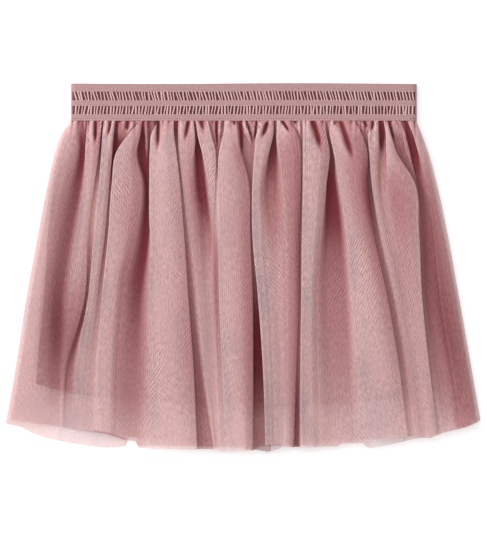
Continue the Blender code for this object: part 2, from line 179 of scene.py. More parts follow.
# Small hollows between the gathers under the band, in mm: they run from (start_x, start)
# to (end_x, end), start and end being distances down from the seam. One with a negative
# depth is a small pleat that stands up.
Hollow = namedtuple("Hollow", "start_x end_x start end width depth")
HOLLOWS = [Hollow(*row) for row in (
    (-107.8, -107.6, -0.7, 7.0, 0.7, -1.4),
    (-100.4, -100.6, 0.7, 18.0, 1.4, 3.4),
    (-90.1, -92.6, 0.4, 12.8, 1.0, 3.2),
    (-86.0, -88.8, 0.2, 30.0, 1.2, 3.2),
    (-79.0, -79.2, 0.4, 7.8, 1.3, 2.4),
    (-74.0, -80.0, 0.4, 11.5, 1.7, -1.8),
    (-66.0, -65.4, 1.4, 30.0, 1.4, -2.4),
    (-58.0, -58.4, 0.4, 24.0, 1.5, 3.6),
    (-37.9, -40.2, 0.7, 16.0, 1.3, 3.6),
    (-29.2, -27.0, 0.7, 8.0, 1.0, 2.8),
    (-18.6, -18.0, 0.5, 20.0, 0.8, 2.6),
    (-16.2, -17.4, 0.4, 16.0, 1.3, -1.8),
    (-6.8, -6.1, -0.7, 4.1, 1.2, 3.0),
    (-2.4, -1.2, 0.4, 26.0, 1.3, 3.0),
    (0.0, 5.4, 1.4, 17.0, 1.6, -2.2),
    (1.9, 7.0, 0.7, 18.0, 0.7, 3.0),
    (6.2, 6.4, 0.7, 11.5, 1.1, -2.0),
    (8.6, 6.9, 0.4, 16.0, 0.8, 3.0),
    (15.3, 11.9, 2.0, 13.6, 1.7, 3.8),
    (26.2, 31.6, 0.2, 9.6, 1.2, 3.6),
    (34.6, 34.8, 0.0, 3.2, 1.0, 2.8),
    (36.8, 38.2, 0.4, 12.0, 1.3, -1.6),
    (47.0, 53.2, 0.4, 24.0, 2.4, 3.4),
    (61.4, 61.4, 0.3, 4.0, 1.0, 2.8),
    (65.6, 75.4, 0.8, 32.0, 2.4, 2.7),
    (81.4, 83.4, 0.4, 5.4, 1.0, 2.6),
    (87.6, 85.9, 0.8, 8.2, 1.0, 3.0),
    (92.8, 93.4, 0.8, 26.0, 1.6, 3.2),
    (98.2, 102.4, 0.5, 18.0, 1.0, 3.8),
    (103.0, 105.6, 0.2, 4.6, 0.6, 1.8),
    (110.0, 112.6, 0.5, 16.0, 1.0, 2.4),
)]

# Hems as (place across, distance from the seam), in mm
OUTER_FRONT_HEM = (
    (-161.8, 205.4), (-152.3, 206.7), (-138.7, 207.4), (-118.3, 208.1), (-103.4, 210.1),
    (-94.5, 211.5), (-84.3, 214.9), (-79.6, 216.5), (-73.2, 217.0), (-72.4, 221.4),
    (-57.1, 222.2), (-17.1, 222.4), (-16.9, 223.7), (6.8, 223.0), (12.2, 220.3), (14.3, 219.6),
    (24.5, 218.3), (25.8, 221.0), (63.9, 221.0), (65.3, 219.0), (81.6, 218.3),
    (83.0, 216.9), (109.5, 213.5), (122.4, 214.9), (134.6, 211.5), (142.8, 209.4),
    (151.0, 207.4), (157.1, 204.7), (161.5, 202.6),
)
SECOND_FRONT_HEM = (
    (-159.1, 204.0), (-118.3, 206.7), (-97.9, 209.4), (-77.5, 213.5), (-57.1, 219.0),
    (-2.7, 221.7), (8.2, 223.0), (16.3, 224.4), (23.8, 222.4), (26.5, 220.3),
    (63.9, 220.3), (68.7, 218.3), (82.3, 218.3), (83.6, 222.4), (97.9, 219.6),
    (122.4, 214.2), (142.8, 208.8), (155.0, 205.4), (161.2, 201.3),
)
OUTER_BACK_HEM = (
    (-161.8, 205.4), (-151.0, 208.1), (-142.8, 212.6), (-134.6, 215.4), (-118.3, 218.8),
    (-95.2, 222.2), (-85.7, 221.8), (-79.6, 220.8), (-78.9, 215.0), (-73.0, 215.0),
    (-72.4, 220.5), (-50.3, 221.0), (-20.4, 221.7), (38.1, 220.3), (65.3, 218.3),
    (92.5, 216.2), (114.2, 214.2), (126.5, 215.6), (134.6, 212.2), (151.0, 208.1), (161.2, 202.6),
)
SECOND_BACK_HEM = (
    (-160.5, 202.6), (-138.7, 205.4), (-111.5, 210.1), (-77.5, 214.2), (-43.5, 217.6),
    (-2.7, 219.6), (38.1, 218.3), (78.9, 216.2), (119.7, 212.2), (161.2, 199.9),
)

# The lining's sides, at the distances down from the seam in LINING_RUNS, and its hem
LINING_RUNS = (0.0, 16.0, 29.0, 53.0, 77.0, 107.0, 135.0, 155.0, 178.0, 196.0)
LINING_LEFT = (-113.0, -121.0, -125.0, -130.0, -133.0, -134.8, -136.8, -139.2, -141.2, -142.2)
LINING_RIGHT = (112.0, 118.0, 122.0, 126.5, 130.0, 133.0, 135.5, 137.5, 139.5, 141.0)
LINING_HEM = (
    (-142.0, 178.0), (-115.0, 185.5), (-60.0, 191.0), (10.0, 195.0), (66.0, 192.5),
    (113.0, 187.5), (141.0, 180.0),
)


# ---- Curves -------------------------------------------------------------------------

def smooth(share):
    """Ease from 0 to 1 as share goes from 0 to 1."""
    share = np.clip(share, 0.0, 1.0)
    return share * share * (3 - 2 * share)


def along(values, places, where):
    """A smooth curve through values at places, read at the array where."""
    values = np.asarray(values, float)
    places = np.asarray(places, float)
    slopes = np.gradient(values, places)
    index = np.clip(np.searchsorted(places, where) - 1, 0, len(places) - 2)
    span = places[index + 1] - places[index]
    t = np.clip((where - places[index]) / span, 0.0, 1.0)
    square = t * t
    cube = square * t
    return (
        values[index] * (2 * cube - 3 * square + 1)
        + slopes[index] * span * (cube - 2 * square + t)
        + values[index + 1] * (3 * square - 2 * cube)
        + slopes[index + 1] * span * (cube - square)
    )


def hem_at(hem, x):
    """Distance from the seam to a hem, at places across."""
    places, drops = zip(*hem)
    return np.interp(x, places, drops)


def ripple(x, y, seed, scale):
    """Smooth uneven waves between -1 and 1, the same each run."""
    total = np.zeros(np.broadcast(x, y).shape)
    chance = random.Random(seed)
    for _ in range(7):
        angle = chance.uniform(0, 2 * pi)
        pitch = chance.uniform(0.6, 1.9) * scale
        phase = chance.uniform(0, 2 * pi)
        total = total + np.sin((x * cos(angle) + y * sin(angle)) * 2 * pi / pitch + phase)
    return total / 3.5


def row_runs(count, power):
    """Rows down a panel as shares of its length, closer together at the waist."""
    return np.linspace(0.0, 1.0, count) ** power


# ---- Folded front tulle -------------------------------------------------------------

# A crisp edge, in mm: how far in its crest and foot lie, and how it rolls over
CRISP_INSET = 1.2
CRISP_FOOT = 0.6
CRISP_ROLL = 9.5

# How far in from its sides a layer rounds down, in mm
SIDE_ROUND = 6.0

# Where across its top a fold turns to its right edge, the share of the right edge's painted
# shade there, the painted highlight along its left crest, and the palest painted highlight
TURN = 0.66
TURN_TONE = 0.42
RIM_LIGHT = 0.16
PALEST = -0.3

# How much finer the columns between two folds are than on their tops
GAP_FINENESS = 1.35

# A front layer. height_share, flank_inset and overhang say how high, how spread and how
# rolled over its folds are. rise, top and floor set its columns: up an edge, to a mm of a
# fold's top, and the fewest in a gap. single and gathered are how much light the net stops
# where it lies open and at the waist, and thin is how much less at the left side.
Layer = namedtuple(
    "Layer",
    "base side inset height_share flank_inset overhang rise top floor hem rows "
    "seed single gathered thin",
)
OUTER_FRONT = Layer(
    OUTER_BASE, OUTER_SIDE, 0.0, 1.0, 0.0, 1.0, 8, 1.25, 3, OUTER_FRONT_HEM, 125,
    3, 0.52, 0.72, 0.58,
)
SECOND_FRONT = Layer(
    SECOND_BASE, SECOND_SIDE, 3.0, 0.5, 2.2, 0.0, 5, 0.7, 2, SECOND_FRONT_HEM, 84,
    8, 0.48, 0.66, 0.58,
)


def crispness(softness):
    """1 for a crisp edge to 0 for one that rounds over 3 mm or more."""
    return np.clip(1 - (softness - 1) / 2, 0, 1)


def fold_edge(place, softness, width, layer, side):
    """Crest and foot of a fold's edge, and how far the cloth rolls over there.

    side is 1 for a left edge, whose crest lies to its right, and -1 for a right edge.
    """
    crisp = crispness(softness)
    room = 0.42 * width
    inset = np.minimum(crisp * CRISP_INSET + (1 - crisp) * softness, room)
    crest = place + side * np.minimum(inset + layer.flank_inset * 1.8, room)
    foot = place + side * np.minimum(crisp * CRISP_FOOT + layer.flank_inset, 0.3 * width)
    roll = crisp * CRISP_ROLL * np.clip((width - 1) / 6, 0, 1) * layer.overhang
    roll = np.maximum(roll, np.abs(crest - foot))
    return crest, foot, roll


def side_round(x, left, right, layer):
    """Height of the layer's ground, which rounds down towards its two sides."""
    reach = np.clip(np.minimum(x - left, right - x) / SIDE_ROUND, 0, 1)
    rounded = np.sqrt(np.clip(1 - (1 - reach) ** 2, 0, 1))
    return layer.side + (layer.base - layer.side) * rounded


def pull_in(x, left, right, inset):
    """Move the cloth near both sides inwards, by inset at the very edge."""
    return x + inset * np.exp(-(x - left) / 6) - inset * np.exp(-(right - x) / 6)


def add_stretch(stretches, x0, x1, z0, z1, roll, count, shade0, shade1, rim=0.0):
    """The cloth from one crease line to the next, as columns of x, lift and shade.

    rim is the painted highlight along the first crease line: how much lighter the cloth is
    painted there.
    """
    for step in range(count):
        t = step / count
        wave = 2 * t ** 3 - 3 * t ** 2 + t
        ease = 3 * t ** 2 - 2 * t ** 3
        x = x0 + (x1 - x0) * ease + roll * wave
        lift = z0 + (z1 - z0) * ease
        shade = shade0 + (shade1 - shade0) * ease - rim * (1 - t) ** 5
        stretches.append((x, lift, shade))


def folded_columns(layer, run):
    """Every column of the folded cloth as x, lift and shade, each an array down the rows."""
    form_run = np.maximum(run, FORM_RUNS[0])
    tone_run = np.maximum(run, TONE_RUNS[0])
    grow = 0.45 + 0.55 * smooth(run / 11)
    gathered = np.exp(-(run / 8) ** 2)
    edges = []
    for fold in FOLDS:
        left = along(fold.left, EDGE_RUNS, run)
        right = along(fold.right, EDGE_RUNS, run)
        left_soft = along(fold.left_soft, FORM_RUNS, form_run)
        right_soft = along(fold.right_soft, FORM_RUNS, form_run)
        edges.append((
            fold_edge(left, left_soft, right - left, layer, 1),
            fold_edge(right, right_soft, right - left, layer, -1),
        ))
    columns = []
    gap, gap_shade = np.zeros_like(run), np.zeros_like(run)
    for number, fold in enumerate(FOLDS):
        heights = (fold.left_height, fold.right_height, fold.gap_lift)
        lifts = [
            along(height, FORM_RUNS, form_run) * grow * layer.height_share for height in heights
        ]
        height0, height1, next_gap = lifts
        next_gap = next_gap + (0.5 * height1 - next_gap) * gathered
        # The fold's painted shade, darker at its right edge and in the gap after it
        tones = (fold.top_tone, fold.side_tone, fold.gap_tone)
        tones = np.array(tones) / 100
        top, side, next_shade = [along(tone, TONE_RUNS, tone_run) for tone in tones]
        (crest0, foot0, roll0), (crest1, foot1, roll1) = edges[number]
        add_stretch(columns, foot0, crest0, gap, height0, roll0, layer.rise, gap_shade, top)
        span = crest1 - crest0
        ridge = height0 + (height1 - height0) * 0.6
        ridge = ridge + np.minimum(0.07 * span, 1.0) * layer.height_share * grow
        middle = crest0 + TURN * span
        halfway = top + (side - top) * TURN_TONE
        count = top_columns(layer, fold)
        first = round(count * TURN)
        add_stretch(
            columns, crest0, middle, height0, ridge, 0.3 * span, first, top, halfway, RIM_LIGHT
        )
        add_stretch(
            columns, middle, crest1, ridge, height1, 0.1 * span, count - first, halfway, side
        )
        gap, gap_shade = next_gap, next_shade
        add_stretch(columns, crest1, foot1, height1, gap, roll1, layer.rise, side, gap_shade)
        if number < len(FOLDS) - 1:
            next_foot = edges[number + 1][0][1]
            reach = next_foot - foot1
            count = gap_columns(layer, fold, FOLDS[number + 1])
            add_stretch(
                columns, foot1, next_foot, gap, gap, reach, count, gap_shade, gap_shade
            )
    columns.append((side_lines(run)[1], np.zeros_like(run), np.zeros_like(run)))
    return columns


def top_columns(layer, fold):
    """How many columns a fold's top takes, by its width."""
    widths = [right - left for left, right in zip(fold.left, fold.right)]
    width = 0.5 * (max(widths[:4]) + sum(widths) / len(widths))
    return max(6, round(width * layer.top))


def gap_columns(layer, fold, following):
    """How many columns the cloth between two folds takes, by its width under the band."""
    widths = [left - right for right, left in zip(fold.right[:4], following.left[:4])]
    return max(layer.floor, round(max(widths) * layer.top * GAP_FINENESS))


def side_lines(run):
    """The skirt's left and right outline at distances down from the seam, in mm."""
    return along(FOLDS[0].left, EDGE_RUNS, run), along(FOLDS[-1].right, EDGE_RUNS, run)


# Painted shade in the hollows, and how much less painted shade the cloth gets past the lining's
# end
HOLLOW_SHADE = 0.28
HEM_PALE = 0.13
LINING_END = 188.0

# The turned-up stretch of the outer hem: its tone, partly the double net's own deeper colour and
# partly painted shade under the turn, and its middle, half length and depth
TURNED_TONE = 0.6
TURNED_MIDDLE = -91.0
TURNED_REACH = 12.5
TURNED_DEPTH = 1.7


def turned_hem(x, down, layer):
    """1 on the stretch of the outer hem that is turned up, where the net lies double."""
    near = hem_at(layer.hem, x) - down
    along_hem = smooth((TURNED_REACH - np.abs(x - TURNED_MIDDLE)) / 3)
    return along_hem * smooth((TURNED_DEPTH + 0.5 - near) / 0.8) * layer.overhang


def hollows(x, run):
    """Depth of the small hollows under the band, each with a raised lip on its left."""
    total = np.zeros_like(x)
    for hollow in HOLLOWS:
        share = (run - hollow.start) / (hollow.end - hollow.start)
        centre = hollow.start_x + (hollow.end_x - hollow.start_x) * np.clip(share, 0, 1)
        window = smooth(share * 4 + 0.8) * smooth((1 - share) * 1.8)
        width = hollow.width * (0.45 + 0.45 * window)
        groove = np.exp(-((x - centre) / width) ** 2)
        lip = 0.28 * np.exp(-((x - centre + 2.2 * width) / (1.3 * width)) ** 2)
        total += hollow.depth * window * (groove - lip)
    return total


# The usual distance between the small pleats under the band, in mm, and their height
PLEAT_PITCH = 4.9
PLEAT_HEIGHT = 1.8


def gathers(x, run):
    """Small pleats under the band, 0 in a pleat's valley to 1 on its ridge, and their fade."""
    phase = x / PLEAT_PITCH + 0.5 * np.sin(x / 7.3 + 1.0) + 0.3 * np.sin(x / 3.1)
    phase = phase + 0.012 * run * np.sin(x / 11.0)
    pleat = phase - np.floor(phase)
    ridge = 4 * pleat * (1 - pleat)
    reach = 4.0 + 6.0 * (0.5 + 0.5 * np.sin(x / 5.9 + 0.7)) ** 2
    return ridge, np.exp(-np.clip(run, 0, None) / reach)


def read_down(grid, run, down):
    """Each column of a grid given at the distances run, read at the distances down."""
    columns = [np.interp(down[:, i], run, grid[:, i]) for i in range(grid.shape[1])]
    return np.stack(columns, axis=1)


def distances_down(x, run, hem):
    """Distances of each point from the seam, so that every column ends at the hem."""
    share = (run / run[-1])[:, None]
    drop = hem_at(hem, x[-1])
    for _ in range(3):
        ends = [np.interp(drop[i], run, x[:, i]) for i in range(x.shape[1])]
        drop = hem_at(hem, np.array(ends))
    return share * (drop[None, :] + TUCK) - TUCK


def laid_points(x, down, z):
    """Points in metres from places across, distances from the seam and heights in mm."""
    return np.stack((x, SEAM_Y / MM - down, z), axis=-1) * MM


def flat_panel(sides, run, columns, hem):
    """A flat panel between two sides, in mm: shares across, distances down, places
    across, and its left and right side."""
    across = np.linspace(0.0, 1.0, columns)[None, :]
    left, right = sides(run[:, None])
    down = distances_down(left + (right - left) * across, run, hem)
    left, right = sides(np.clip(down, 0, None))
    return across, down, left + (right - left) * across, left, right


def folded_panel(layer):
    """Points, shade and lift of one folded front layer."""
    run = row_runs(layer.rows, 1.35) * LONGEST
    columns = folded_columns(layer, run)
    x, lift, shade = [np.stack([column[i] for column in columns], axis=1) for i in range(3)]
    down = distances_down(x, run, layer.hem)
    x, lift, shade = [read_down(grid, run, down) for grid in (x, lift, shade)]
    left, right = side_lines(np.clip(down, 0, None))
    ground = side_round(x, left, right, layer)
    hollow = hollows(x, down) * layer.height_share
    body = ripple(x, down * 0.28, layer.seed, 24.0) * 0.4 * smooth(down / 20)
    ridge, fade = gathers(x, down)
    puff = PLEAT_HEIGHT * (ridge - 0.5) * fade * layer.height_share
    lift = np.maximum(lift - hollow + body * layer.height_share + puff, 0.0)
    # Painted shade in the pleat valleys, and a dark painted shade just under the band
    valley = (1 - ridge) ** 1.5 * (0.95 * fade + 0.3 * np.exp(-down / 1.6))
    # Painted shade in the hollows; the small pleats that stand up get less of it
    shade = np.clip(shade + np.clip(hollow, -3, 3) * HOLLOW_SHADE, PALEST, 1)
    shade = np.clip(shade + np.clip(valley, 0, 1) * (1 - shade), PALEST, 1)
    # Less painted shade past the lining's end, down to a painted highlight where it goes below 0
    shade = shade - HEM_PALE * smooth((down - LINING_END) / 26)
    # The turned-up hem is darkened: the double net's deeper colour together with painted shade
    # under the turn
    shade = shade + TURNED_TONE * turned_hem(x, down, layer) * (1 - shade)
    x = pull_in(x, left, right, layer.inset * smooth(down / 14))
    out = smooth((down + TUCK) / (2.2 * TUCK))
    z = (ground + lift) * out + TUCK_HEIGHT * (1 - out)
    return laid_points(x, down, z), shade, lift


# ---- Meshes from grids of points ----------------------------------------------------

def cloth_coordinates(points):
    """U across the flat cloth and V down it, in metres. U is measured where the cloth lies
    widest, because a narrower place is gathered and not shrunk."""
    steps = np.linalg.norm(np.diff(points, axis=1), axis=-1)
    widest = np.sort(steps, axis=0)[len(steps) // 2:]
    across = np.concatenate(([0.0], np.cumsum(widest.mean(axis=0))))
    down = SEAM_Y - points[:, :, 1]
    return np.stack((across[None, :] + np.zeros_like(down), down), axis=-1)


def facing_up(points):
    """How much each point's cloth faces up: 1 level, 0 upright, below 0 folded under."""
    across = np.gradient(points, axis=1)
    down = np.gradient(points, axis=0)
    normal = np.cross(down, across)
    return normal[..., 2] / (np.linalg.norm(normal, axis=-1) + 1e-12)


def new_object(name, data):
    """An object of some data, in the scene."""
    item = bpy.data.objects.new(name, data)
    bpy.context.scene.collection.objects.link(item)
    return item


def grid_piece(name, points, marks, face_down=False):
    """A sheet through a grid of points in metres, with its cloth coordinates and marks.

    Returns the piece and its flat width.
    """
    rows, count = points.shape[:2]
    index = np.arange(rows * count).reshape(rows, count)
    corners = (index[:-1, :-1], index[1:, :-1], index[1:, 1:], index[:-1, 1:])
    quads = np.stack(corners[::-1] if face_down else corners, axis=-1).reshape(-1, 4)
    mesh = bpy.data.meshes.new(name)
    mesh.from_pydata(points.reshape(-1, 3).tolist(), [], quads.tolist())
    flat = cloth_coordinates(points).reshape(-1, 2)
    layer = mesh.uv_layers.new(name="cloth")
    layer.data.foreach_set("uv", flat[quads.reshape(-1)].astype(np.float32).reshape(-1))
    for mark, values in marks.items():
        attribute = mesh.attributes.new(mark, "FLOAT", "POINT")
        attribute.data.foreach_set("value", values.astype(np.float32).reshape(-1))
    mesh.shade_smooth()
    return new_object(name, mesh), float(flat[:, 0].max())


# Where the thin stretch at the left side begins, its reach, and that of the gathered net
THIN_SIDE = -96.0
THIN_REACH = 34.0
GATHERED_REACH = 34.0


def cover_of(points, layer):
    """Share of the light that the net stops, seen from above: more where it is gathered
    at the waist and where it stands steeply, less where it lies thin at the left side."""
    run = (SEAM_Y - points[..., 1]) / MM
    level = np.clip(np.abs(facing_up(points)), 0.3, 1.0)
    side = smooth((THIN_SIDE - points[..., 0] / MM) / THIN_REACH) * smooth(run / 60)
    fade = np.exp(-np.clip(run, 0, None) / GATHERED_REACH)
    face_on = layer.single + (layer.gathered - layer.single) * fade
    face_on = face_on * (1 - layer.thin * side)
    return 1 - (1 - face_on) ** (1 / level)


# ---- Shader groups ------------------------------------------------------------------

def feed(tree, socket, value):
    """Give a socket a number, a vector or a colour, or link another socket to it."""
    if isinstance(value, bpy.types.NodeSocket):
        tree.links.new(value, socket)
    elif socket.type == "RGBA":
        socket.default_value = (*value, 1)
    else:
        socket.default_value = value


def add_node(tree, kind, inputs=None, **settings):
    """A shader node of a kind, with its settings and what its inputs are fed."""
    node = tree.nodes.new("ShaderNode" + kind)
    for key, value in settings.items():
        setattr(node, key, value)
    for key, value in (inputs or {}).items():
        feed(tree, node.inputs[key], value)
    return node


def math_node(tree, operation, first, second, clamp=False):
    """A Math node on sockets or numbers; returns its output."""
    inputs = {0: first, 1: second}
    return add_node(tree, "Math", inputs, operation=operation, use_clamp=clamp).outputs[0]


def times(tree, first, second):
    """The product of two sockets or numbers."""
    return math_node(tree, "MULTIPLY", first, second)


def plus(tree, first, second, clamp=False):
    """The sum of two sockets or numbers."""
    return math_node(tree, "ADD", first, second, clamp)


def centred(tree, value):
    """A 0 to 1 pattern as -0.5 to 0.5."""
    return math_node(tree, "SUBTRACT", value, 0.5)


def mix_colors(tree, share, first, second, blend="MIX"):
    """Mix two colours, each a socket or a colour."""
    inputs = {0: share, 6: first, 7: second}
    return add_node(tree, "Mix", inputs, data_type="RGBA", blend_type=blend).outputs[2]


def ramp(tree, value, low, high):
    """Ease from 0 at low to 1 at high."""
    inputs = {"Value": value, "From Min": low, "From Max": high}
    return add_node(tree, "MapRange", inputs, interpolation_type="SMOOTHSTEP").outputs[0]


def turned(tree, vector, angle):
    """A vector turned by an angle in degrees."""
    inputs = {"Vector": vector, "Rotation": (0, 0, radians(angle))}
    return add_node(tree, "Mapping", inputs).outputs[0]


def noise(tree, vector, scale, detail=2.0, stretch=(1.0, 1.0, 1.0), output="Fac"):
    """A noise texture on a vector, which stretch scales first."""
    place = add_node(tree, "Mapping", {"Vector": vector, "Scale": stretch}).outputs[0]
    inputs = {"Vector": place, "Scale": scale, "Detail": detail}
    return add_node(tree, "TexNoise", inputs).outputs[output]


def lines(tree, vector, pitch, angle):
    """Parallel lines of a pitch in metres, turned by an angle in degrees."""
    inputs = {"Vector": turned(tree, vector, angle), "Scale": pi / 10 / pitch}
    return add_node(tree, "TexWave", inputs, wave_profile="SIN").outputs["Fac"]


def streak(tree, vector, angle):
    """Fine broken crinkles that run at an angle in degrees from upright."""
    place = turned(tree, vector, angle)
    return ramp(tree, noise(tree, place, 900.0, 1.0, (1.0, 0.30, 1.0)), 0.25, 0.75)


def mix_values(tree, share, first, second):
    """Mix two numbers."""
    inputs = {0: share, 2: first, 3: second}
    return add_node(tree, "Mix", inputs, data_type="FLOAT").outputs[0]


def new_group(name, inputs, outputs):
    """A shader node group with its sockets; returns the group, its inlet and outlet."""
    group = bpy.data.node_groups.new(name, "ShaderNodeTree")
    for socket, kind in inputs.items():
        group.interface.new_socket(socket, in_out="INPUT", socket_type=kind)
    for socket in outputs:
        group.interface.new_socket(socket, in_out="OUTPUT", socket_type="NodeSocketFloat")
    inlet = group.nodes.new("NodeGroupInput")
    outlet = group.nodes.new("NodeGroupOutput")
    return group, inlet, outlet


def moved(tree, vector, scale, stretch, reach):
    """A vector pushed about by noise, by up to reach metres."""
    push = noise(tree, vector, scale, 2.0, stretch, "Color")
    inputs = {0: push, 1: (reach, reach, 0.0), 2: vector}
    return add_node(tree, "VectorMath", inputs, operation="MULTIPLY_ADD").outputs[0]


def add_net_group():
    """Fine net: upright threads, crinkles, patches of slanting hatch, and slow changes of
    tone and tint."""
    group, inlet, outlet = new_group(
        "fine_net",
        {"Cloth": "NodeSocketVector"},
        ("Threads", "Crinkle", "Hatch", "Clouds", "Mauve"),
    )
    cloth = inlet.outputs["Cloth"]
    bent = moved(group, cloth, 30.0, (1.0, 0.5, 1.0), 5 * MM)
    fine = moved(group, bent, 330.0, (1.0, 0.6, 1.0), 1.5 * MM)
    threads = lines(group, cloth, 1.35 * MM, 0)
    patches = noise(group, cloth, 26.0, 1.5, (1.0, 0.5, 1.0))
    side = ramp(group, patches, 0.42, 0.58)
    streaks = mix_values(group, side, streak(group, bent, 16), streak(group, bent, -19))
    falling = lines(group, fine, 1.75 * MM, 33)
    rising = lines(group, fine, 1.85 * MM, -35)
    hatch = mix_values(group, side, falling, rising)
    where = noise(group, cloth, 34.0, 2.0, (1.0, 0.45, 1.0))
    strength = ramp(group, where, 0.42, 0.66)
    broken = noise(group, cloth, 240.0, 1.0, (1.0, 0.5, 1.0))
    breaks = ramp(group, broken, 0.3, 0.6)
    clouds = noise(group, cloth, 24.0, 3.0, (1.6, 0.5, 1.0))
    drift = noise(group, bent, 44.0, 2.0, (1.2, 0.5, 1.0))
    results = {
        "Threads": centred(group, threads),
        "Crinkle": centred(group, streaks),
        "Hatch": times(group, centred(group, hatch), times(group, strength, breaks)),
        "Clouds": centred(group, clouds),
        "Mauve": ramp(group, drift, 0.48, 0.66),
    }
    for name, value in results.items():
        group.links.new(value, outlet.inputs[name])
    return group


def add_elastic_group():
    """Woven elastic: fine cords that slant both ways, and a fine grain."""
    group, inlet, outlet = new_group(
        "elastic_weave",
        {"Place": "NodeSocketVector", "Cords": "NodeSocketFloat"},
        ("Height",),
    )
    place = inlet.outputs["Place"]
    down = lines(group, place, 1.0 * MM, 35)
    up = lines(group, place, 1.1 * MM, -40)
    cords = times(group, times(group, down, up), inlet.outputs["Cords"])
    height = plus(group, cords, noise(group, place, 900.0))
    group.links.new(height, outlet.inputs["Height"])
    return group


def cloth_vector(tree):
    """The piece's own cloth coordinates."""
    return add_node(tree, "UVMap", uv_map="cloth").outputs["UV"]


def mark_value(tree, name):
    """A number kept on the piece's points."""
    return add_node(tree, "Attribute", attribute_name=name).outputs["Fac"]


def new_material(name, roughness, sheen=0.0, sheen_tint=(1, 1, 1)):
    """A material with its constants on the shader; returns it, its tree and the shader."""
    material = bpy.data.materials.new(name)
    material.use_nodes = True
    tree = material.node_tree
    shader = tree.nodes["Principled BSDF"]
    constants = {
        "Roughness": roughness, "Specular IOR Level": 0.2,
        "Sheen Weight": sheen, "Sheen Roughness": 0.45, "Sheen Tint": sheen_tint,
    }
    for key, value in constants.items():
        feed(tree, shader.inputs[key], value)
    return material, tree, shader


def finish_shader(tree, shader, color, height, strength, distance):
    """Give a shader its colour and a bump, distance being the bump's full height."""
    inputs = {"Height": height, "Strength": strength, "Distance": distance}
    feed(tree, shader.inputs["Base Color"], color)
    feed(tree, shader.inputs["Normal"], add_node(tree, "Bump", inputs).outputs[0])


# After crest, the open net, come the painted shade colours, mid and deep; pale is the painted
# highlight, mauve a drifting tint
Tulle = namedtuple("Tulle", "name pale crest rose deep mauve threads crinkle hatch")
OUTER_TULLE = Tulle(
    "outer_tulle", (0.88, 0.60, 0.59), (0.755, 0.485, 0.48), (0.49, 0.225, 0.232),
    (0.175, 0.026, 0.034), (0.54, 0.385, 0.43), 0.12, 0.20, 0.38,
)
SECOND_TULLE = Tulle(
    "second_tulle", (0.78, 0.50, 0.49), (0.67, 0.41, 0.40), (0.44, 0.185, 0.19),
    (0.14, 0.022, 0.030), (0.46, 0.32, 0.37), 0.06, 0.10, 0.15,
)
CLOUD_STRENGTH = 0.24
MAUVE_STRENGTH = 0.5


def add_tulle_material(look, net):
    """Sheer soft net: painted shade deepens its colour, a painted highlight pales it, and light
    passes between threads.
    """
    material, tree, shader = new_material(look.name, 0.8, 0.15, (1.0, 0.85, 0.85))
    weave = add_node(tree, "Group", {"Cloth": cloth_vector(tree)}, node_tree=net)
    shade = mark_value(tree, "shade")
    cover = mark_value(tree, "cover")
    # Painted highlight where shade is below 0, painted shade from mid to deep above it
    pale = ramp(tree, times(tree, shade, -1.0), 0.0, 0.25)
    half = ramp(tree, shade, 0.0, 0.5)
    full = ramp(tree, shade, 0.40, 1.0)
    tint = mauve_share(tree, weave.outputs["Mauve"], shade)
    color = mix_colors(tree, pale, look.crest, look.pale)
    color = mix_colors(tree, tint, color, look.mauve)
    color = mix_colors(tree, half, color, look.rose)
    color = mix_colors(tree, full, color, look.deep)
    pattern = times(tree, weave.outputs["Threads"], look.threads)
    for part, strength in (("Crinkle", look.crinkle), ("Hatch", look.hatch)):
        pattern = plus(tree, pattern, times(tree, weave.outputs[part], strength))
    clouds = times(tree, weave.outputs["Clouds"], CLOUD_STRENGTH)
    value = plus(tree, plus(tree, pattern, clouds), 1.0)
    gray = add_node(tree, "CombineColor", {0: value, 1: value, 2: value}).outputs[0]
    color = mix_colors(tree, 1.0, color, gray, "MULTIPLY")
    alpha = plus(tree, cover, times(tree, pattern, 0.5))
    # Painted shade also makes the net more opaque
    alpha = plus(tree, alpha, times(tree, shade, 0.35), clamp=True)
    feed(tree, shader.inputs["Alpha"], alpha)
    finish_shader(tree, shader, color, pattern, 0.5, 0.5 * MM)
    return material


def mauve_share(tree, mauve, shade):
    """The mauve tint, kept to the open tops of the folds."""
    open_cloth = math_node(tree, "SUBTRACT", 1.0, shade, clamp=True)
    return times(tree, times(tree, mauve, open_cloth), MAUVE_STRENGTH)


def add_jersey_material():
    """Matt fine jersey: upright stitch columns and a soft uneven tone."""
    material, tree, shader = new_material("jersey", 0.9, 0.2, (1.0, 0.8, 0.8))
    cloth = cloth_vector(tree)
    knit = times(tree, lines(tree, cloth, 0.9 * MM, 0), lines(tree, cloth, 0.7 * MM, 90))
    tone = noise(tree, cloth, 60.0, 3.0)
    color = mix_colors(tree, tone, (0.265, 0.048, 0.058), (0.225, 0.042, 0.050))
    color = mix_colors(tree, times(tree, knit, 0.35), color, (0.15, 0.05, 0.06))
    finish_shader(tree, shader, color, knit, 0.4, 0.4 * MM)
    return material


def add_elastic_material(look, weave):
    """Woven elastic in two tones, with as much of its slanting cords as the look has."""
    material, tree, shader = new_material(look.name, 0.7, 0.1, (1.0, 0.9, 0.9))
    inputs = {"Place": add_node(tree, "TexCoord").outputs["Object"], "Cords": look.cords}
    height = add_node(tree, "Group", inputs, node_tree=weave).outputs["Height"]
    color = mix_colors(tree, ramp(tree, height, 0.3, 0.95), look.light, look.dark)
    finish_shader(tree, shader, color, height, 0.5, 0.3 * MM)
    return material


